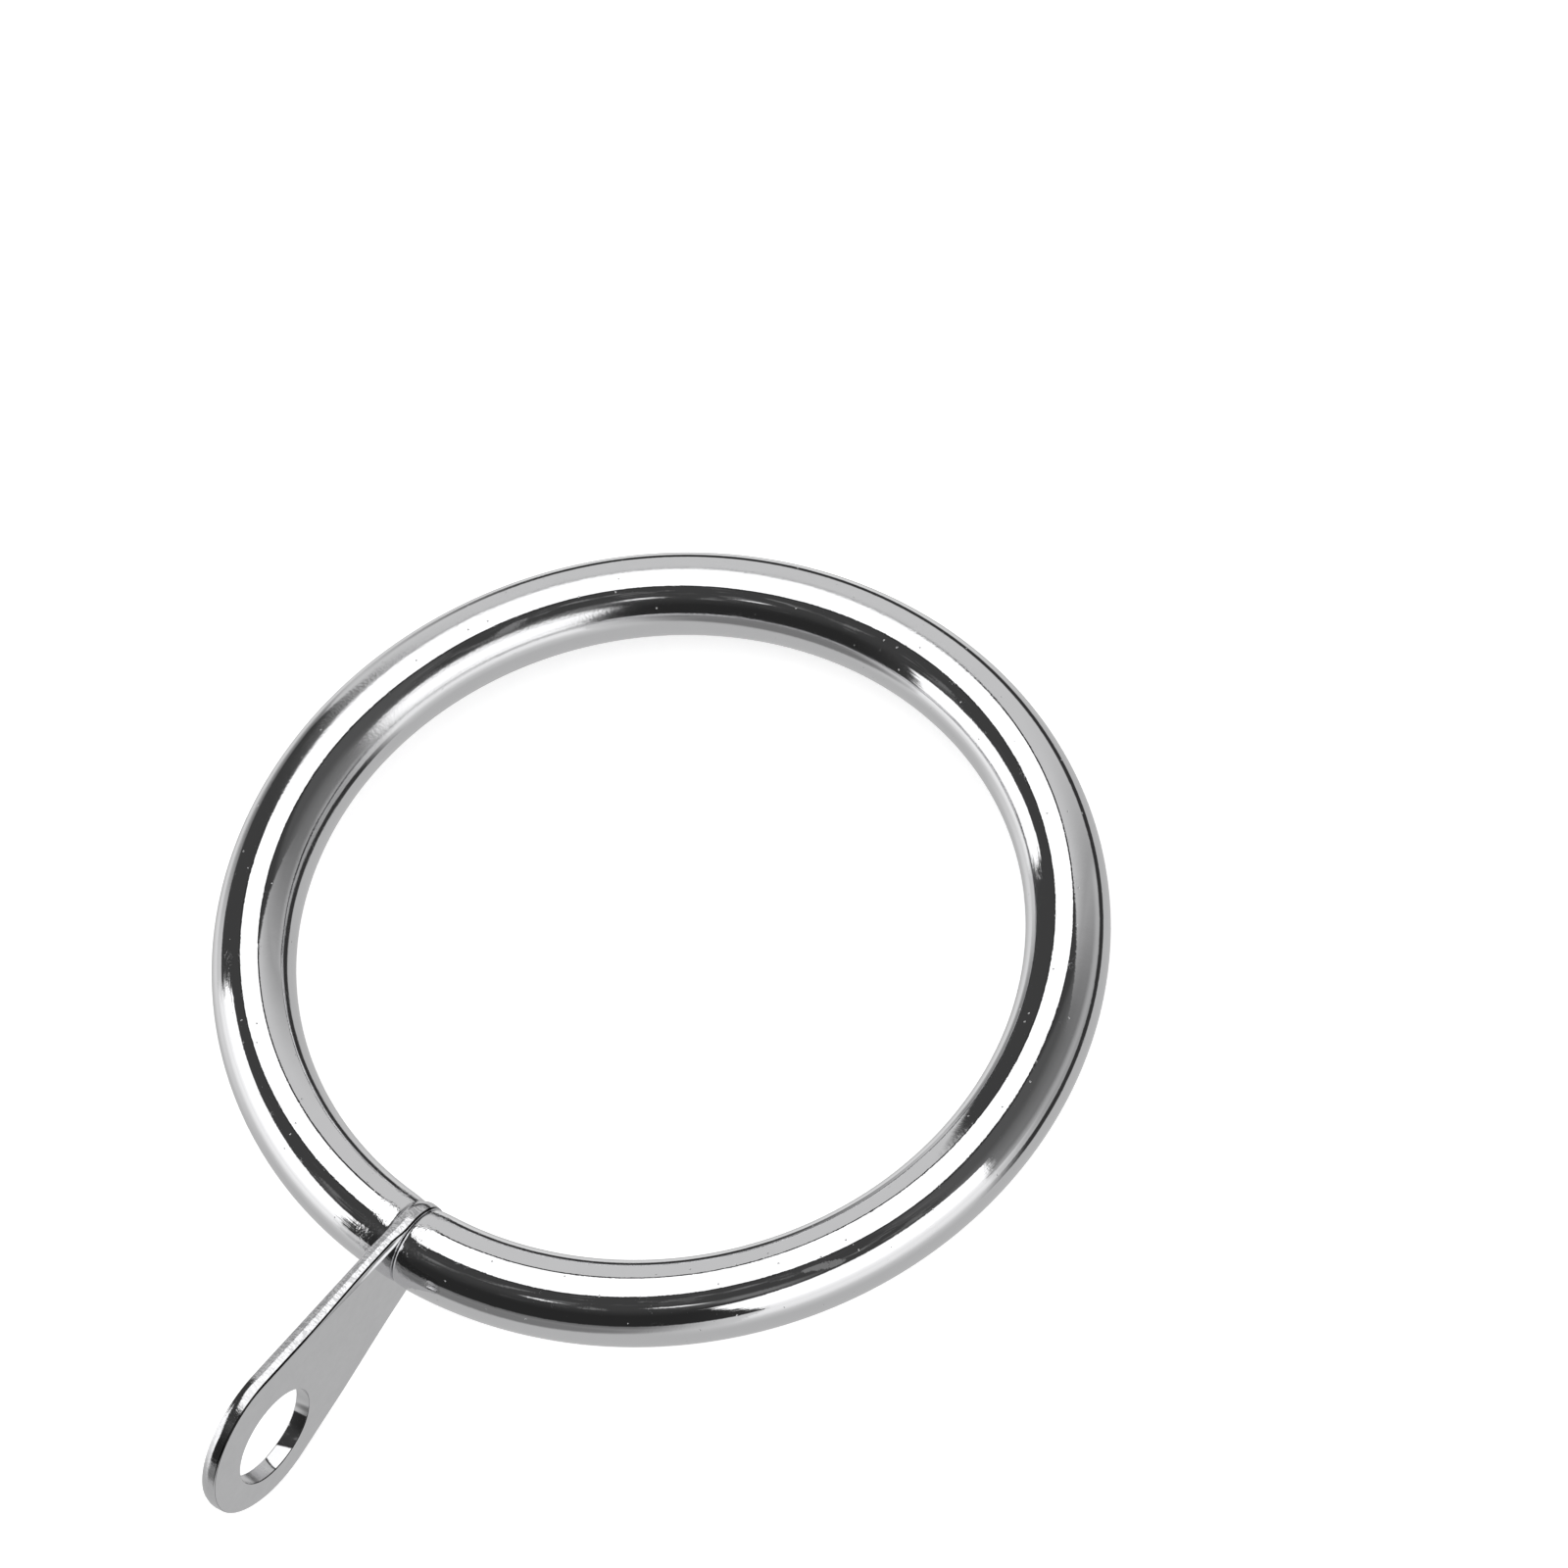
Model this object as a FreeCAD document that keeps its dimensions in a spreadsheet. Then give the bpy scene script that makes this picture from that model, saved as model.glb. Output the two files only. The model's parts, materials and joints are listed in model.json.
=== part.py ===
import FreeCAD, Part
import math
import os
import Sketcher
from FreeCAD import Vector

# Curtain ring with a fixed eyelet, in millimetres.
#
# Round steel wire is bent into a circle. Its two ends close on the narrow
# end of a flat stamped eyelet plate, which stands across the ring and
# reaches outwards. The plate's wide end has the hole for the curtain's hook.
#
# The origin is the centre of the ring. +Z is the ring's axis, along which
# the curtain rod goes through, and +X points from the centre to the eyelet.

SIZES = [
    ("ring_inner_diameter", 38.0, "clear opening for the rod"),
    ("wire_diameter", 4.4, "round wire that the ring is bent from"),
    ("wire_end_bevel", 0.3, "bevel round both ends of the wire"),
    ("plate_thickness", 0.9, "sheet that the eyelet is stamped from"),
    ("rim_stand", 0.15, "how far the plate's narrow end stands proud of the wire"),
    ("head_radius", 4.7, "wide end of the plate"),
    ("head_distance", 12.15, "from the middle of the wire to the middle of the wide end"),
    ("hole_diameter", 5.5, "hole for the curtain's hook"),
    ("hole_drop", 0.45, "how far the hole sits below the middle of the wide end"),
    ("eyelet_lean", 4.5, "degrees that the plate leans towards the ring's lower side"),
    ("plate_edge_bevel", 0.12, "bevel along the plate's outline"),
    ("hole_edge_bevel", 0.08, "bevel round both ends of the hole"),
]

# Sizes that follow from the ones above
RING_RADIUS = "(sizes.ring_inner_diameter + sizes.wire_diameter) / 2"
WIRE_RADIUS = "sizes.wire_diameter / 2"
RIM_RADIUS = "sizes.wire_diameter / 2 + sizes.rim_stand"
HOLE_RADIUS = "sizes.hole_diameter / 2"

# The points of a line or an arc, and the sketch's own origin and X axis
START = 1
END = 2
CENTRE = 3
X_AXIS = -1
ORIGIN = (-1, START)

TOLERANCE = 1e-4


def make_sheet(doc):
    """The spreadsheet that every sketch and feature takes its sizes from."""
    sheet = doc.addObject("Spreadsheet::Sheet", "sizes")
    for row, (alias, value, note) in enumerate(SIZES, start=1):
        sheet.set(f"A{row}", alias)
        sheet.set(f"B{row}", str(value))
        sheet.setAlias(f"B{row}", alias)
        sheet.set(f"C{row}", note)
    doc.recompute()
    return sheet


def make_body(doc, label):
    """An empty body for one piece of the ring."""
    body = doc.addObject("PartDesign::Body", label)
    body.Label = label
    return body


def make_sketch(body, name, plane_role):
    """A sketch on one of the body's own base planes."""
    sketch = body.newObject("Sketcher::SketchObject", name)
    planes = {item.Role: item for item in body.Origin.OriginFeatures}
    sketch.AttachmentSupport = (planes[plane_role], "")
    sketch.MapMode = "FlatFace"
    return sketch


def relate(sketch, kind, *places):
    """A sketch constraint without a size."""
    sketch.addConstraint(Sketcher.Constraint(kind, *places))


def dimension(sketch, name, size, kind, *places):
    """A sketch dimension that follows an expression on the sheet."""
    value = sketch.evalExpression(size)
    number = sketch.addConstraint(Sketcher.Constraint(kind, *places, value))
    sketch.renameConstraint(number, name)
    sketch.setExpression(f"Constraints.{name}", size)


def add_circle(sketch, name, x, y, radius):
    """A circle near x, y, whose radius follows an expression on the sheet."""
    circle = Part.Circle(Vector(x, y, 0), Vector(0, 0, 1), sketch.evalExpression(radius))
    number = sketch.addGeometry(circle, False)
    dimension(sketch, name, radius, "Radius", number)
    return number


def add_arc(sketch, name, x, radius, first_angle, last_angle):
    """An arc about x on the X axis, whose radius follows an expression on the sheet."""
    circle = Part.Circle(Vector(x, 0, 0), Vector(0, 0, 1), sketch.evalExpression(radius))
    number = sketch.addGeometry(Part.ArcOfCircle(circle, first_angle, last_angle), False)
    dimension(sketch, name, radius, "Radius", number)
    return number


def join_by_tangent(sketch, start, end):
    """A straight line from the end of one arc to another arc, smooth at both."""
    points = [sketch.getPoint(*start), sketch.getPoint(*end)]
    line = sketch.addGeometry(Part.LineSegment(*points), False)
    relate(sketch, "Tangent", *start, line, START)
    relate(sketch, "Tangent", line, END, *end)


def edges_across(shape, half_width):
    """The edges that lie in the planes at Y = half_width and -half_width, by name."""
    found = {}
    for number, edge in enumerate(shape.Edges, start=1):
        points = [vertex.Point for vertex in edge.Vertexes] + [edge.CenterOfMass]
        if all(abs(abs(point.y) - half_width) < TOLERANCE for point in points):
            found[f"Edge{number}"] = edge
    return found


def bevel_edges(body, name, base, edge_names, size):
    """A chamfer on those edges of a feature, whose size follows the sheet."""
    chamfer = body.newObject("PartDesign::Chamfer", name)
    chamfer.Base = (base, edge_names)
    chamfer.setExpression("Size", size)
    return chamfer


def make_ring_wire(doc, sheet):
    """The bent wire, cut open by the plate's thickness, with both ends bevelled."""
    body = make_body(doc, "ring_wire")

    section = make_sketch(body, "wire_section", "XZ_Plane")
    ring_radius = section.evalExpression(RING_RADIUS)
    wire = add_circle(section, "wire_radius", ring_radius, 0, WIRE_RADIUS)
    relate(section, "PointOnObject", wire, CENTRE, X_AXIS)
    dimension(section, "bend_radius", RING_RADIUS, "DistanceX", *ORIGIN, wire, CENTRE)

    bend = body.newObject("PartDesign::Revolution", "bent_wire")
    bend.Profile = section
    bend.ReferenceAxis = (section, ["V_Axis"])
    bend.Angle = 360

    slot = make_sketch(body, "slot_outline", "XY_Plane")
    half_width = sheet.plate_thickness / 2
    inner_x = ring_radius - sheet.wire_diameter
    outer_x = ring_radius + sheet.wire_diameter
    corners = [
        Vector(inner_x, -half_width, 0),
        Vector(outer_x, -half_width, 0),
        Vector(outer_x, half_width, 0),
        Vector(inner_x, half_width, 0),
    ]
    sides = [
        slot.addGeometry(Part.LineSegment(here, there), False)
        for here, there in zip(corners, corners[1:] + corners[:1])
    ]
    for side, following in zip(sides, sides[1:] + sides[:1]):
        relate(slot, "Coincident", side, END, following, START)
    lower, outer, upper, inner = sides
    relate(slot, "Horizontal", lower)
    relate(slot, "Horizontal", upper)
    relate(slot, "Vertical", outer)
    relate(slot, "Symmetric", inner, START, inner, END, X_AXIS)
    dimension(slot, "width", "sizes.plate_thickness", "DistanceY", outer, START, outer, END)
    dimension(slot, "length", "2 * sizes.wire_diameter", "DistanceX", lower, START, lower, END)
    dimension(slot, "inner_end", f"{RING_RADIUS} - sizes.wire_diameter",
              "DistanceX", *ORIGIN, lower, START)

    opening = body.newObject("PartDesign::Pocket", "plate_slot")
    opening.Profile = slot
    opening.SideType = "Symmetric"
    opening.Type = "ThroughAll"
    doc.recompute()
    if opening.Shape.Volume >= bend.Shape.Volume:
        raise RuntimeError("the slot for the plate cuts nothing from the wire")

    end_edges = list(edges_across(opening.Shape, half_width))
    bevel_edges(body, "dressed_ends", opening, end_edges, "sizes.wire_end_bevel")
    return body


def make_eyelet_plate(doc, sheet):
    """The flat plate, drawn from the middle of the wire outwards, then set on the ring."""
    body = make_body(doc, "eyelet_plate")

    outline = make_sketch(body, "plate_outline", "XZ_Plane")
    widening = sheet.head_radius - outline.evalExpression(RIM_RADIUS)
    upper_side = math.pi / 2 + math.asin(widening / sheet.head_distance)
    lower_side = 2 * math.pi - upper_side
    rim = add_arc(outline, "rim_radius", 0, RIM_RADIUS, upper_side, lower_side)
    head = add_arc(outline, "head_radius", sheet.head_distance, "sizes.head_radius",
                   -upper_side, upper_side)
    relate(outline, "Coincident", rim, CENTRE, *ORIGIN)
    relate(outline, "PointOnObject", head, CENTRE, X_AXIS)
    dimension(outline, "reach", "sizes.head_distance", "DistanceX", *ORIGIN, head, CENTRE)
    join_by_tangent(outline, (rim, START), (head, END))
    join_by_tangent(outline, (rim, END), (head, START))

    hole = add_circle(outline, "hole_radius", sheet.head_distance, -sheet.hole_drop, HOLE_RADIUS)
    relate(outline, "Vertical", hole, CENTRE, head, CENTRE)
    dimension(outline, "drop", "sizes.hole_drop", "DistanceY", hole, CENTRE, head, CENTRE)

    blank = body.newObject("PartDesign::Pad", "stamped_blank")
    blank.Profile = outline
    blank.SideType = "Symmetric"
    blank.setExpression("Length", "sizes.plate_thickness")
    doc.recompute()

    half_width = sheet.plate_thickness / 2
    face_edges = edges_across(blank.Shape, half_width)
    outline_edges = [name for name, edge in face_edges.items() if not edge.isClosed()]
    tumbled = bevel_edges(body, "bevelled_outline", blank, outline_edges, "sizes.plate_edge_bevel")
    doc.recompute()

    face_edges = edges_across(tumbled.Shape, half_width)
    hole_edges = [name for name, edge in face_edges.items() if edge.isClosed()]
    bevel_edges(body, "bevelled_hole", tumbled, hole_edges, "sizes.hole_edge_bevel")

    body.setExpression(
        "Placement",
        f"placement(vector({RING_RADIUS}; 0; 0); rotation(vector(0; 1; 0); sizes.eyelet_lean))",
    )
    return body


def check_model(doc, bodies):
    """Stops if any object failed or any piece isn't one sound solid."""
    for item in doc.Objects:
        if "Invalid" in item.State or "Error" in item.State:
            raise RuntimeError(f"{item.Label} did not build: {item.State}")
    for body in bodies:
        shape = body.Shape
        if shape.isNull() or not shape.isValid() or len(shape.Solids) != 1:
            raise RuntimeError(f"{body.Label} is not one sound solid")
        print(f"{body.Label}: {shape.Volume:.2f} mm3, {len(shape.Faces)} faces, {shape.BoundBox}")


document = FreeCAD.newDocument("curtain_ring")
sizes = make_sheet(document)
pieces = [make_ring_wire(document, sizes), make_eyelet_plate(document, sizes)]
document.recompute()
check_model(document, pieces)

os.makedirs("parts", exist_ok=True)
for piece in pieces:
    piece.Shape.exportStep(f"parts/{piece.Label}.step")
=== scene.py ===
import json
import math

import bmesh
import bpy
from mathutils import Matrix, Vector


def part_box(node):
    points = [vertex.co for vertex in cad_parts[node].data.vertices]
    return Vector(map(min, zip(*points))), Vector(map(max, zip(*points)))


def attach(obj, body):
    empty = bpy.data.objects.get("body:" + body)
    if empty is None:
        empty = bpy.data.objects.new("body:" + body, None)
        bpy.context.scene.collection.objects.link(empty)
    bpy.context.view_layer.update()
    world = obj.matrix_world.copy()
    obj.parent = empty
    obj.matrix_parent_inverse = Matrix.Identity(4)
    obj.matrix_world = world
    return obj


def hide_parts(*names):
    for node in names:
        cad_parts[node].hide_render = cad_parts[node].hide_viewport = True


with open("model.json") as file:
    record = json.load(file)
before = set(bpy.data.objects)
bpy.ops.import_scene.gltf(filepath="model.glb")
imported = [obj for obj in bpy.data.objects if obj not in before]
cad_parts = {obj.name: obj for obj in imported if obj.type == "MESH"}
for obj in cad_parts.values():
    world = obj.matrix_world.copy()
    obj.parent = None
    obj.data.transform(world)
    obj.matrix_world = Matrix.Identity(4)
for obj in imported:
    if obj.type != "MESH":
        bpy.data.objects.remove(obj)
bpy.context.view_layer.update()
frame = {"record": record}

# Curtain ring with a fixed eyelet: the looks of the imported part, in metres.
#
# Polished chrome shows the room round it and little colour of its own, so the
# studio that the two pieces reflect is built here with as much care as they are.

mm = 0.001
degrees_per_radian = 180 / math.pi

# The plate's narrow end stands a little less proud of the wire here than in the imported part
rim_drop = 0.08 * mm

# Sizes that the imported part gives
mounts = {mount["name"]: mount for mount in frame["record"]["mounts"]}
wire_radius = mounts["rod_opening"]["dims"]["length_mm"] * mm / 2
ring_radius = mounts["rod_opening"]["dims"]["r_mm"] * mm + wire_radius
plate_low, plate_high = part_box("eyelet_plate")
plate_thickness = plate_high.y - plate_low.y
rim_radius = ring_radius - plate_low.x - rim_drop
head_radius = (plate_high.z - plate_low.z) / 2
head_centre = Vector((plate_high.x - head_radius, 0, (plate_high.z + plate_low.z) / 2))
hole_radius = mounts["hook_hole"]["dims"]["r_mm"] * mm
wire_centre = Vector((ring_radius, 0, 0))
plate_lean = math.atan2(-head_centre.z, head_centre.x - wire_centre.x)
head_distance = (head_centre - wire_centre).length
plate_place = Matrix.Translation(wire_centre) @ Matrix.Rotation(plate_lean, 4, "Y")
hole_place = Vector(mounts["hook_hole"]["pos_m"])
hole_centre = plate_place.inverted() @ hole_place

# The wire's ends taper gently over some length, and then have a round corner
wire_end_depth = 0.10 * mm
wire_end_length = 1.10 * mm
wire_end_corner = 0.14 * mm

# Soft edges of the plate, which only the close view shows
front_round = 0.12 * mm
back_round = 0.06 * mm
hole_edge_round = 0.06 * mm
flat_margin = 0.02 * mm

# The plate's cut edge leans a little to the front, and rolls away towards the back from
# that share of its height
edge_lean = math.radians(5)
edge_roll = 0.11 * mm
roll_start = 0.45

# A flat bevel opens along the front of both long sides, from the head to the wire
bevel_width = 0.20 * mm
bevel_slope = math.radians(30)
bevel_start = 8.0 * mm
bevel_full = 2.8 * mm
bevel_end = 1.2 * mm
bevel_close = 1.0 * mm

# How finely the pieces are divided
wire_steps = 540
wire_sides = 108
end_steps = 14
round_steps = 6
band_steps = 12
rim_steps = 44
side_steps = 60
head_steps = 168

# Colours of the plating, and of the shade painted along the plate's front corner
clear_plating = (0.80, 0.80, 0.81, 1.0)
hazy_plating = (0.73, 0.73, 0.74, 1.0)
face_plating = (0.79, 0.79, 0.80, 1.0)
edge_plating = (0.50, 0.50, 0.51, 1.0)
corner_shadow = (0.02, 0.02, 0.02, 1.0)
white = (1.0, 1.0, 1.0, 1.0)

# Roughness of the plating where it is clean and unworn
wire_rough = 0.025
plate_rough = 0.045

# How deep the marks in the wire's plating are
wire_swell_depth = 0.010 * mm
peel_depth = 0.0030 * mm
drawn_depth = 0.0006 * mm
wire_grain_depth = 0.0035 * mm
speckle_depth = 0.014 * mm
pit_depth = 0.02 * mm
scratch_depth = 0.0005 * mm

# How deep the marks in the plate's plating are
plate_swell_depth = 0.008 * mm
plate_grain_depth = 0.0006 * mm
shear_depth = 0.008 * mm

# Which cells of the wire's surface have a pit, and where the wire is worn most
some_cells = (0.45, 0.47)
worn_azimuth = -135


class Value:
    """One output of a node. Arithmetic on it adds Math nodes."""

    def __init__(self, nodes, socket):
        self.nodes = nodes
        self.socket = socket

    def __add__(self, other):
        return self.nodes.calculate("ADD", self, other)

    def __radd__(self, other):
        return self.nodes.calculate("ADD", other, self)

    def __sub__(self, other):
        return self.nodes.calculate("SUBTRACT", self, other)

    def __rsub__(self, other):
        return self.nodes.calculate("SUBTRACT", other, self)

    def __mul__(self, other):
        return self.nodes.calculate("MULTIPLY", self, other)

    def __rmul__(self, other):
        return self.nodes.calculate("MULTIPLY", other, self)

    def __truediv__(self, other):
        return self.nodes.calculate("DIVIDE", self, other)

    def __rtruediv__(self, other):
        return self.nodes.calculate("DIVIDE", other, self)

    def __pow__(self, other):
        return self.nodes.calculate("POWER", self, other)

    def __rpow__(self, other):
        return self.nodes.calculate("POWER", other, self)

    def __abs__(self):
        return self.nodes.calculate("ABSOLUTE", self)

    def rising(self, low, high):
        """0 below low, 1 above high and smooth between them."""
        return self.nodes.node(
            "ShaderNodeMapRange",
            {"interpolation_type": "SMOOTHSTEP"},
            {"Value": self, "From Min": low, "From Max": high},
        )["Result"]

    def falling(self, low, high):
        """1 below low, 0 above high and smooth between them."""
        return 1 - self.rising(low, high)


class Nodes:
    """The nodes of one material, or of the world."""

    def __init__(self, owner):
        owner.use_nodes = True
        self.tree = owner.node_tree
        self.tree.nodes.clear()

    def node(self, kind, settings=None, sockets=None):
        """Adds a node of that type: its settings first, then a value or a link for each socket."""
        made = self.tree.nodes.new(kind)
        for name, setting in (settings or {}).items():
            setattr(made, name, setting)
        for name, value in (sockets or {}).items():
            socket = self.find(made.inputs, name)
            if isinstance(value, Value):
                self.tree.links.new(value.socket, socket)
            else:
                socket.default_value = value
        return {socket.identifier: Value(self, socket) for socket in made.outputs}

    @staticmethod
    def find(sockets, name):
        """A socket by its number, or by its name or identifier."""
        if isinstance(name, int):
            return sockets[name]
        return next(socket for socket in sockets if name in (socket.identifier, socket.name))

    def calculate(self, operation, *values):
        """A Math node with that operation."""
        made = self.node("ShaderNodeMath", {"operation": operation}, dict(enumerate(values)))
        return made["Value"]

    def separate(self, vector):
        """The x, y and z of a vector."""
        parts = self.node("ShaderNodeSeparateXYZ", sockets={"Vector": vector})
        return parts["X"], parts["Y"], parts["Z"]

    def combine(self, x, y, z):
        """A vector from its x, y and z."""
        return self.node("ShaderNodeCombineXYZ", sockets={"X": x, "Y": y, "Z": z})["Vector"]

    def noise(self, vector, scale, detail=2.0, roughness=0.5):
        """Smooth noise from 0 to 1, whose grain is about 1 / scale across."""
        return self.node(
            "ShaderNodeTexNoise",
            sockets={"Vector": vector, "Scale": scale, "Detail": detail, "Roughness": roughness},
        )["Fac"]

    def mix(self, factor, first, second):
        """A colour that goes from the first to the second as the factor goes from 0 to 1."""
        return self.node(
            "ShaderNodeMix",
            {"data_type": "RGBA"},
            {"Factor_Float": factor, "A_Color": first, "B_Color": second},
        )["Result_Color"]

    def bump(self, height, distance, normal=None):
        """The normal of a surface that height, from 0 to 1, raises by up to that distance."""
        sockets = {"Height": height, "Distance": distance}
        if normal is not None:
            sockets["Normal"] = normal
        return self.node("ShaderNodeBump", sockets=sockets)["Normal"]

    def chrome(self, tone, rough, normal):
        """Ends a material as bare metal with that colour, roughness and normal."""
        shader = self.node(
            "ShaderNodeBsdfPrincipled",
            sockets={"Base Color": tone, "Metallic": 1.0, "Roughness": rough, "Normal": normal},
        )
        self.node("ShaderNodeOutputMaterial", sockets={"Surface": shader["BSDF"]})


def cover(under, level, mask):
    """The value under a layer, changed to the layer's own level where its mask is 1."""
    return under + (level - under) * mask


def polished_chrome():
    """Bright plating on drawn wire: faint marks along the wire, pits and a few scratches."""
    material = bpy.data.materials.new("polished_chrome")
    nodes = Nodes(material)
    place = nodes.node("ShaderNodeTexCoord")["Object"]
    x, y, z = nodes.separate(place)
    reach = (x * x + y * y) ** 0.5
    round_ring = nodes.calculate("ARCTAN2", y, x)
    round_wire = nodes.calculate("ARCTAN2", z, reach - ring_radius)

    # The wire unrolled, in millimetres along it and round it
    along = round_ring * (ring_radius / mm)
    aside = round_wire * (wire_radius / mm)
    drawn = nodes.noise(nodes.combine(along * 0.05, aside * 5.0, 0.0), 1.0, 3.0)
    swell = nodes.noise(place, 0.16 / mm, 1.0)
    peel = nodes.noise(place, 1.1 / mm, 1.0)
    grain = nodes.noise(place, 7.0 / mm, 1.0)
    haze = nodes.noise(place, 0.7 / mm, 4.0, 0.6)

    # About half of the cells have a pit, and few of those pits come to the surface
    pits = nodes.node(
        "ShaderNodeTexVoronoi",
        sockets={"Vector": place, "Scale": 1.5 / mm, "Randomness": 1.0},
    )
    pit_here = nodes.separate(pits["Color"])[0].rising(*some_cells)
    pit = pits["Distance"].falling(0.03, 0.085) * pit_here

    # The inner side is harder to reach with the polishing wheel. On one side, an eighth of
    # a turn on from the point opposite the joint, the wheel also left the inside and the
    # top less bright and the outside nearly matt. Degrees round the ring count from there,
    # and degrees round the wire from its outermost line over the top.
    inner = ((ring_radius - reach) / wire_radius).rising(0.40, 0.75)
    turned = round_ring * degrees_per_radian - worn_azimuth
    turned = nodes.calculate("WRAP", turned, 180.0, -180.0)
    rolled = round_wire * degrees_per_radian
    dull_inside = abs(turned - 23).falling(14, 34) * abs(rolled - 140).falling(8, 18)
    dull_top = abs(turned).falling(40, 75) * abs(rolled - 80).falling(8, 22)
    dull = dull_inside + dull_top
    matt = abs(turned - 38).falling(22, 46) * abs(rolled - 38).falling(10, 22)

    # The wire's ends were dressed by hand where they meet the plate
    dressed = abs(y).falling(1.1 * mm, 2.4 * mm) * x.rising(0, wire_radius)
    speckle = nodes.noise(place, 6.0 / mm, 2.0, 0.6)

    scratch_lines = nodes.noise(nodes.combine(along * 0.9, aside * 0.9, 7.0), 1.0, 5.0, 0.7)
    scratch = abs(scratch_lines - 0.5).falling(0.0, 0.004) * haze.rising(0.56, 0.66)

    normal = nodes.bump(swell, wire_swell_depth)
    normal = nodes.bump(peel, peel_depth, normal)
    normal = nodes.bump(drawn * (1 + 4 * inner + 4 * dull), drawn_depth, normal)
    normal = nodes.bump(grain * (0.4 * haze.rising(0.40, 0.62) + dull), wire_grain_depth, normal)
    normal = nodes.bump(speckle * dressed, speckle_depth, normal)
    normal = nodes.bump(1 - pit, pit_depth, normal)
    normal = nodes.bump(1 - scratch, scratch_depth, normal)
    rough = wire_rough + 0.02 * haze + 0.04 * inner + 0.15 * dull + 0.16 * matt
    rough = rough + 0.20 * pit + 0.06 * scratch
    tone = nodes.mix(haze * 0.5 + pit * 0.5, clear_plating, hazy_plating)
    nodes.chrome(tone, rough, normal)
    return material


def stamped_chrome():
    """Bright plating on the stamped plate: fine grain on its faces, shear marks on its edges."""
    material = bpy.data.materials.new("stamped_chrome")
    nodes = Nodes(material)
    coordinates = nodes.node("ShaderNodeTexCoord")
    place = coordinates["Object"]
    x, y, z = nodes.separate(place)
    facing_y, facing_z = nodes.separate(coordinates["Normal"])[1:]

    # The cut edge, and its rolled corner with the front, along which a dark line of painted shade
    # runs
    edge = abs(facing_y).falling(0.35, 0.60)
    corner = facing_y.rising(0.10, 0.22) * facing_y.falling(0.78, 0.86)
    corner = corner * facing_z.rising(0.20, 0.55)

    # The punched hole is smoother than the cut outline, but matt on the side away from
    # the ring. Shear marks show as flecks further from the hole.
    far_x = x - hole_place.x
    far_z = z - hole_place.z
    from_hole = (far_x * far_x + far_z * far_z) ** 0.5
    outside_hole = from_hole.rising(hole_radius + 0.2 * mm, hole_radius + 0.4 * mm)
    cut = edge * outside_hole
    matt = edge * (1 - outside_hole) * far_x.rising(0.5 * mm, 1.1 * mm)

    grain = nodes.noise(place, 14.0 / mm, 2.0, 0.6)
    swell = nodes.noise(place, 0.5 / mm, 1.0)
    haze = nodes.noise(place, 1.3 / mm, 4.0, 0.6)
    sheared = nodes.noise(nodes.combine(x, y * 0.35, z), 8.0 / mm, 3.0, 0.7)
    fleck = sheared.rising(0.47, 0.55) * cut * from_hole.rising(4.6 * mm, 6.0 * mm)

    normal = nodes.bump(swell, plate_swell_depth)
    normal = nodes.bump(grain, plate_grain_depth, normal)
    normal = nodes.bump(sheared * cut, shear_depth, normal)
    rough = plate_rough + 0.03 * haze + 0.03 * cut + 0.22 * matt
    tone = nodes.mix(haze * 0.3 + edge * 0.2 + fleck * 0.8, face_plating, edge_plating)
    # Painted shade: a near-black line along the rolled front corner of the cut edge
    tone = nodes.mix(corner, tone, corner_shadow)
    nodes.chrome(tone, rough, normal)
    return material


def skin(loops, closed=False):
    """The points of those loops, and the quads from each loop to the next."""
    count = len(loops[0])
    points = [point for loop in loops for point in loop]
    quads = []
    for row in range(len(loops) if closed else len(loops) - 1):
        here = row * count
        there = (row + 1) % len(loops) * count
        for step in range(count):
            after = (step + 1) % count
            quads.append((here + step, here + after, there + after, there + step))
    return points, quads


def make_piece(name, points, faces, material):
    """A smooth-shaded piece of the ring, riding on its only body."""
    mesh = bpy.data.meshes.new(name)
    mesh.from_pydata(points, [], faces)
    work = bmesh.new()
    work.from_mesh(mesh)
    bmesh.ops.recalc_face_normals(work, faces=work.faces)
    work.to_mesh(mesh)
    work.free()
    mesh.polygons.foreach_set("use_smooth", [True] * len(mesh.polygons))
    mesh.materials.append(material)
    piece = bpy.data.objects.new(name, mesh)
    bpy.context.scene.collection.objects.link(piece)
    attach(piece, "root")
    return piece


def rounded_end():
    """How far along the wire, and how far in, its long taper and round corner run at each step."""
    end = []
    for step in range(end_steps + 1):
        turn = math.pi / 2 * step / end_steps
        along = wire_end_length * (1 - math.sin(turn))
        into_corner = max(wire_end_corner - along, 0)
        drawn_in = wire_end_depth * (1 - math.cos(turn))
        drawn_in += wire_end_corner - math.sqrt(wire_end_corner ** 2 - into_corner ** 2)
        end.append((along, drawn_in))
    return end


def make_wire():
    """The bent wire, from one side of the plate round to the other, with dressed ends."""
    half_slot = plate_thickness / 2
    sides = [2 * math.pi * side / wire_sides for side in range(wire_sides)]

    def station(share, drawn_in, from_slot):
        """One loop round the wire, at that share of the way round between its rounded ends."""
        loop = []
        for side in sides:
            radius = wire_radius - drawn_in
            reach = ring_radius + radius * math.cos(side)
            first = math.asin((half_slot + from_slot) / reach)
            turn = first + share * (2 * math.pi - 2 * first)
            height = radius * math.sin(side)
            loop.append((reach * math.cos(turn), reach * math.sin(turn), height))
        return loop

    end = rounded_end()
    loops = [station(0, drawn_in, from_slot) for from_slot, drawn_in in reversed(end)]
    loops += [station(step / wire_steps, 0, wire_end_length) for step in range(1, wire_steps)]
    loops += [station(1, drawn_in, from_slot) for from_slot, drawn_in in end]
    points, faces = skin(loops)
    faces.append(tuple(range(wire_sides)))
    faces.append(tuple(range(len(points) - wire_sides, len(points))))
    wire = make_piece("bent_wire", points, faces, polished_chrome())
    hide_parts("ring_wire")


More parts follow.
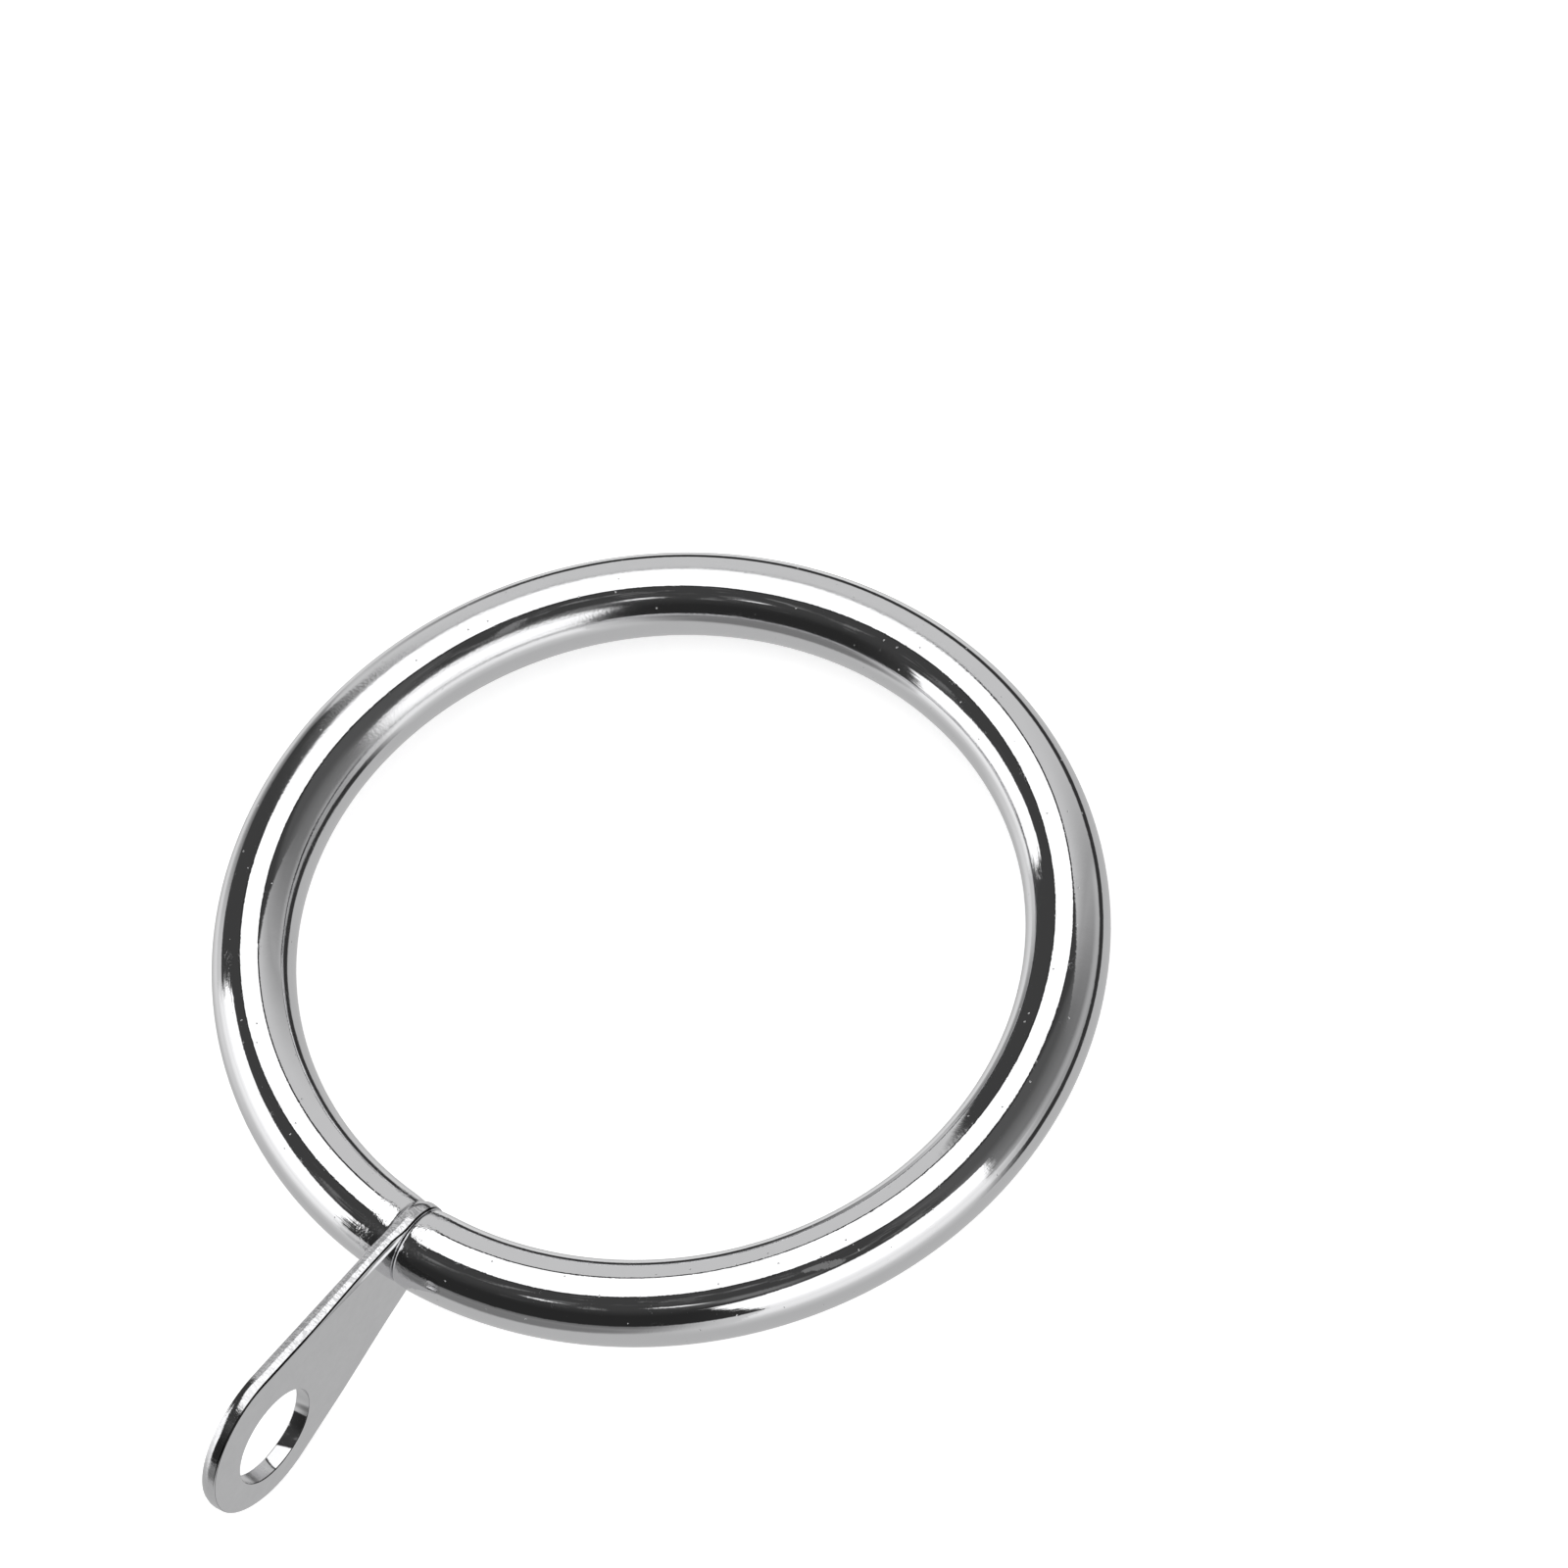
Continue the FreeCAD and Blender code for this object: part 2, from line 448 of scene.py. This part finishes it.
def arc_points(centre_x, radius, first, last, steps):
    """Points round an arc in the plate's own plane, without the last one, and which way is out."""
    turns = [first + (last - first) * step / steps for step in range(steps)]
    ways = [Vector((math.cos(turn), math.sin(turn))) for turn in turns]
    return [(Vector((centre_x, 0)) + radius * way, way) for way in ways]


def line_points(start, end, steps):
    """Points along a straight line, without the last one, and which way is out."""
    ahead = (end - start).normalized()
    way = Vector((ahead.y, -ahead.x))
    return [(start.lerp(end, step / steps), way) for step in range(steps)]


def plate_outline():
    """The plate's outline, two arcs and their common tangents, and which way is out."""
    upper = math.pi / 2 + math.asin((head_radius - rim_radius) / head_distance)
    out = Vector((math.cos(upper), math.sin(upper)))
    under = Vector((out.x, -out.y))
    head = Vector((head_distance, 0))
    outline = arc_points(0, rim_radius, upper, 2 * math.pi - upper, rim_steps)
    outline += line_points(under * rim_radius, head + under * head_radius, side_steps)
    outline += arc_points(head_distance, head_radius, -upper, upper, head_steps)
    outline += line_points(head + out * head_radius, out * rim_radius, side_steps)
    return outline


def smooth_share(value, low, high):
    """0 at low, 1 at high and smooth between them."""
    share = min(max((value - low) / (high - low), 0), 1)
    return share * share * (3 - 2 * share)


def round_corner(radius, first, last):
    """How far in and down a round corner runs from the cut edge, between two tilts."""
    tilts = [first + (last - first) * step / round_steps for step in range(round_steps + 1)]
    return [(radius * (1 - math.cos(tilt)), radius * math.sin(tilt)) for tilt in tilts]


def cut_profile(roll, bevel):
    """How far in, and at what height, a cut edge runs from the front face to the back face."""
    half = plate_thickness / 2
    tilt = math.pi / 2 - bevel_slope
    to_bevel = round_corner(front_round, 0, tilt)
    to_face = round_corner(front_round, tilt, math.pi / 2)
    top = half - front_round - bevel * math.tan(bevel_slope)
    low = back_round - half
    front = [(bevel + front_round + flat_margin, half)]
    front += [(inset + bevel, half - front_round + rise) for inset, rise in reversed(to_face)]
    front += [(inset, top + rise) for inset, rise in reversed(to_bevel)]
    lean = math.tan(edge_lean) * (top - low)
    front = [(inset + lean * roll_start, height) for inset, height in front]
    band = []
    for step in range(1, band_steps + 1):
        share = step / band_steps
        leaned = lean * max(roll_start - share, 0)
        rolled = roll * max((share - roll_start) / (1 - roll_start), 0) ** 2
        band.append((leaned + rolled, top + (low - top) * share))
    last = round_corner(back_round, 0, math.pi / 2)[1:]
    back = [(roll + inset, low - rise) for inset, rise in last]
    return front + band + back + [(roll + back_round + flat_margin, -half)]


def hole_profile():
    """How far out, and at what height, the hole's wall runs from the front face to the back."""
    half = plate_thickness / 2
    corner = round_corner(hole_edge_round, 0, math.pi / 2)
    front = [(hole_edge_round + flat_margin, half)]
    front += [(inset, half - hole_edge_round + rise) for inset, rise in reversed(corner)]
    return front + [(inset, -height) for inset, height in reversed(front)]


def make_eyelet():
    """The stamped plate, with its rolled edges and the hole for the curtain's hook."""
    outline = plate_outline()
    columns = []
    for place, way in outline:
        opened = smooth_share(place.x, bevel_start, bevel_full)
        opened *= smooth_share(place.x, bevel_end - bevel_close, bevel_end)
        column = []
        for inset, height in cut_profile(edge_roll, bevel_width * opened):
            x, z = place - way * inset
            column.append(Vector((x, height, z)))
        columns.append(column)
    loops = [list(loop) for loop in zip(*columns)]
    flat_hole = Vector((hole_centre.x, hole_centre.z))
    spokes = [(place - flat_hole).normalized() for place, way in outline]
    for inset, height in reversed(hole_profile()):
        radius = hole_radius + inset
        rims = [flat_hole + spoke * radius for spoke in spokes]
        loops.append([Vector((x, height, z)) for x, z in rims])
    points, faces = skin(loops, closed=True)
    points = [plate_place @ point for point in points]
    eyelet = make_piece("eyelet", points, faces, stamped_chrome())
    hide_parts("eyelet_plate")


# How bright the studio is in the chrome, where 1 is white
panel_level = 1.45
lamp_level = 1.0
glimmer_level = 0.20
post_level = 0.22
pale_wall_level = 0.67
grey_wall_level = 0.145
low_wall_level = 0.21
foot_wall_level = 0.43
dim_wall_level = 0.10
room_level = 0.058
darkest_level = 0.026
frame_level = 0.04
table_level = 0.54
bright_table_level = 1.05
table_shadow_level = 0.22
strip_level = 0.80

# Where the lights stand: azimuth, elevation, half width, half height and soft edge, in degrees
near_panel_place = (-56.0, 15.2, 22.0, 17.4, 1.4)
far_panel_place = (75.7, 17.7, 26.8, 22.0, 1.6)
overhead_frame_place = (-131, 72.5, 25, 28.5, 0.5)
overhead_light_place = (-131, 72.5, 21.5, 25, 0.8)
first_lamp_place = (2, 48, 2.5, 1.5, 1.0)
second_lamp_place = (34, 49, 4, 1.5, 1.0)
glimmer_place = (52, 47, 8, 4, 3.0)
pale_post_place = (71, 56, 2.2, 12, 1.0)
table_shadow_place = (0, -19, 28, 10.5, 4)

# The azimuths of what else stands round the ring
eyelet_side = 10
grey_wall_side = 130
pale_wall_side = -161
near_shine_side = -56
far_shine_side = 74
far_edge_side = 90
strip_side = -115

# How fine and how deep the ragged sides of the standing panels are
ragged_across = 14
ragged_up = 30
ragged_depth = 0.22


def direction_to(azimuth, elevation):
    """The direction at that azimuth, from +X towards +Y, and that elevation, in degrees."""
    turn = math.radians(azimuth)
    rise = math.radians(elevation)
    flat = math.cos(rise)
    return Vector((flat * math.cos(turn), flat * math.sin(turn), math.sin(rise)))


class Sky:
    """What the chrome reflects, written as brightness by direction."""

    def __init__(self, nodes):
        self.nodes = nodes
        seen = nodes.node("ShaderNodeTexCoord")["Generated"]
        x, y, z = nodes.separate(seen)
        self.height = z
        self.azimuth = nodes.calculate("ARCTAN2", y, x) * degrees_per_radian

        # The table mirrors the room, so below the horizon the room is looked up upside down
        self.direction = nodes.combine(x, y, abs(z))
        self.table_direction = seen

    def towards(self, axis, direction=None):
        """How far a direction points along that axis."""
        sockets = {0: direction or self.direction, 1: axis}
        settings = {"operation": "DOT_PRODUCT"}
        return self.nodes.node("ShaderNodeVectorMath", settings, sockets)["Value"]

    def flat_place(self, azimuth, elevation, direction=None):
        """Where a direction meets a flat panel that faces the ring, across it and up it."""
        forward = direction_to(azimuth, elevation)
        right = Vector((0, 0, 1)).cross(forward).normalized()
        up = forward.cross(right)
        if up.z < 0:
            up = -up
        depth = self.nodes.calculate("MAXIMUM", self.towards(forward, direction), 0.001)
        across = self.towards(right, direction) / depth
        rise = self.towards(up, direction) / depth
        return across, rise

    def panel(self, azimuth, elevation, half_width, half_height, edge, taper, skew):
        """1 on a flat panel and 0 beside it, with its sizes in degrees.

        Its sides are ragged. It narrows upwards by the taper and leans by the skew.
        """
        across, rise = self.flat_place(azimuth, elevation)
        wide, tall, soft = (math.tan(math.radians(a)) for a in (half_width, half_height, edge))
        spread = self.nodes.combine(across * ragged_across, rise * ragged_up, 0.0)
        ragged = self.nodes.noise(spread, 1.0, 3.0, 0.6)
        off_side = abs(across - rise * skew) - (wide - rise * (wide * taper / tall))
        off_side = off_side + (ragged - 0.5) * ragged_depth
        off_top = abs(rise) - tall
        return off_side.falling(-soft, soft) * off_top.falling(-soft, soft)

    def oval(self, azimuth, elevation, half_width, half_height, edge, power=2, direction=None):
        """1 on an oval patch and 0 beside it, with its sizes in degrees.

        A high power squares it.
        """
        across, rise = self.flat_place(azimuth, elevation, direction)
        wide, tall, soft = (math.tan(math.radians(a)) for a in (half_width, half_height, edge))
        off = (abs(across / wide) ** power + abs(rise / tall) ** power) ** (1 / power)
        return off.falling(1 - soft / tall, 1 + soft / tall)

    def away(self, azimuth):
        """Degrees of azimuth between the direction and that azimuth, either way."""
        turned = self.nodes.calculate("WRAP", self.azimuth - azimuth, 180.0, -180.0)
        return abs(turned)


def make_studio():
    """The world: plain white light, in which the chrome mirrors a photographer's studio."""
    world = bpy.data.worlds.new("studio")
    bpy.context.scene.world = world
    nodes = Nodes(world)
    sky = Sky(nodes)
    rise = nodes.calculate("ARCSINE", sky.height) * degrees_per_radian
    high = abs(rise)
    behind = nodes.calculate("WRAP", sky.azimuth, 360.0, 0.0)

    # The dark room, darkest low down on the side of the eyelet, with dim things standing about
    low_part = sky.away(eyelet_side).falling(25, 55) * high.falling(25, 50)
    light = cover(room_level, darkest_level, low_part)
    above_grey = sky.away(grey_wall_side).falling(24, 36) * high.falling(62, 80)
    light = cover(light, dim_wall_level, above_grey)
    clutter = nodes.noise(sky.direction, 6.5, 3.0, 0.6).rising(0.52, 0.72)
    clutter = clutter * high.rising(32, 44) * sky.away(20).falling(60, 100)
    light = cover(light, glimmer_level, clutter)

    # The grey wall, paler near the table, and the pale wall beside it
    grey = cover(grey_wall_level, low_wall_level, high.falling(15, 45))
    grey = cover(grey, foot_wall_level, high.falling(0, 14))
    grey_wall = sky.away(grey_wall_side).falling(30, 35) * high.falling(36, 50)
    light = cover(light, grey, grey_wall)
    across, rise_on_wall = sky.flat_place(pale_wall_side, 0)
    wall = (across + rise_on_wall * 0.30 - 1.18).falling(-0.03, 0.09)
    wall = wall * rise_on_wall.falling(1.31, 1.40) * behind.rising(133, 190)
    light = cover(light, pale_wall_level, wall)

    # Two standing panels, and one broad light overhead in a dark frame
    near_panel = sky.panel(*near_panel_place, taper=0.06, skew=-0.10)
    light = cover(light, panel_level - 0.30 * high.falling(0, 10), near_panel)
    far_panel = sky.panel(*far_panel_place, taper=-0.06, skew=-0.07)
    light = cover(light, panel_level - 0.40 * high.falling(0, 16), far_panel)
    light = cover(light, frame_level, sky.oval(*overhead_frame_place, power=4))
    light = cover(light, panel_level, sky.oval(*overhead_light_place, power=4))

    # Two small lamps, a glimmer and a pale post further back in the room
    light = cover(light, lamp_level, sky.oval(*first_lamp_place))
    light = cover(light, lamp_level, sky.oval(*second_lamp_place))
    light = cover(light, glimmer_level, sky.oval(*glimmer_place))
    light = cover(light, post_level, sky.oval(*pale_post_place))

    # The table: pale, with the room mirrored in it near the horizon, brighter under the
    # two panels and darker beyond the eyelet
    table = cover(table_level, light, high.falling(2.5, 25) * 0.7)
    near_shine = sky.away(near_shine_side).falling(26, 44) * high.falling(0, 42) * 0.60
    table = cover(table, bright_table_level, near_shine)
    far_shine = sky.away(far_shine_side).falling(26, 48) * high.falling(0, 42) * 0.62
    table = cover(table, bright_table_level, far_shine)
    table_shadow = sky.oval(*table_shadow_place, direction=sky.table_direction)
    table = cover(table, table_shadow_level, table_shadow)

    # The table's dark far edge, and the paler strip on this side of it
    edge_depth = 11 + 15 * sky.away(far_edge_side).falling(15, 85)
    far_edge = abs(high - edge_depth).falling(5.5, 9.5)
    far_edge = far_edge * behind.rising(98, 116) * behind.falling(229, 246)
    strip = (high - edge_depth).rising(6, 10) * high.falling(24, 50)
    strip = strip * sky.away(strip_side).falling(35, 60)
    table = cover(table, strip_level, strip)
    table = cover(table, frame_level, far_edge)
    light = cover(light, table, rise.falling(-3.0, 0.5))

    # Only the chrome sees the studio; everything else has plain white light
    reflected = nodes.node("ShaderNodeBackground", sockets={"Color": white, "Strength": light})
    plain = nodes.node("ShaderNodeBackground", sockets={"Color": white, "Strength": 1.0})
    mirrored = nodes.node("ShaderNodeLightPath")["Is Glossy Ray"]
    both = nodes.node(
        "ShaderNodeMixShader",
        sockets={0: mirrored, 1: plain["Background"], 2: reflected["Background"]},
    )
    nodes.node("ShaderNodeOutputWorld", sockets={"Surface": both["Shader"]})
    world.cycles.sampling_method = "NONE"


# A floor of three metres, with a little light of its own that keeps it white
floor_side = 3.0
floor_paint = (0.9, 0.9, 0.9, 1.0)
floor_glow = 0.45


def make_floor():
    """A white floor that touches the wire's far side and the plate's wide end."""
    far = Vector((-ring_radius, 0, 0))
    span = head_centre - far
    slope = math.atan2(-span.z, span.x) + math.asin((head_radius - wire_radius) / span.length)
    down = Vector((-math.sin(slope), 0, -math.cos(slope)))
    mesh = bpy.data.meshes.new("floor")
    half = floor_side / 2
    corners = [(-half, -half, 0), (half, -half, 0), (half, half, 0), (-half, half, 0)]
    mesh.from_pydata(corners, [], [(0, 1, 2, 3)])
    floor = bpy.data.objects.new("floor", mesh)
    floor.location = far + down * wire_radius
    floor.rotation_euler = (0, slope, 0)
    bpy.context.scene.collection.objects.link(floor)

    material = bpy.data.materials.new("white_floor")
    nodes = Nodes(material)
    lit = nodes.node("ShaderNodeBsdfDiffuse", sockets={"Color": floor_paint})
    glow = nodes.node("ShaderNodeEmission", sockets={"Color": white, "Strength": floor_glow})
    both = nodes.node("ShaderNodeAddShader", sockets={0: lit["BSDF"], 1: glow["Emission"]})
    nodes.node("ShaderNodeOutputMaterial", sockets={"Surface": both["Shader"]})
    mesh.materials.append(material)
    floor.visible_glossy = False


# The photograph's view, as fitted to the ring's outline: what the camera aims at, from
# where, how far it is turned about its own line of sight, and its lens in millimetres
camera_aim = Vector((-9.577, 1.425, 3.520)) * mm
camera_distance = 404.86 * mm
camera_azimuth = 45.503
camera_elevation = 58.272
camera_roll = -10.68
sensor_width = 36.0
focal_length = 179.52
nearest_seen = 0.01
furthest_seen = 10.0


def make_camera():
    """The photograph's view: from high on the hole's side, turned a little."""
    back = direction_to(camera_azimuth, camera_elevation)
    data = bpy.data.cameras.new("camera")
    data.sensor_width = sensor_width
    data.lens = focal_length
    data.clip_start = nearest_seen
    data.clip_end = furthest_seen
    camera = bpy.data.objects.new("camera", data)
    camera.rotation_mode = "QUATERNION"
    upright = back.to_track_quat("Z", "Y").to_matrix().to_4x4()
    turned = upright @ Matrix.Rotation(math.radians(camera_roll), 4, "Z")
    camera.matrix_world = Matrix.Translation(camera_aim + back * camera_distance) @ turned
    bpy.context.scene.collection.objects.link(camera)
    bpy.context.scene.camera = camera


make_wire()
make_eyelet()
make_floor()
make_studio()
make_camera()
bpy.context.scene.view_settings.view_transform = "Standard"
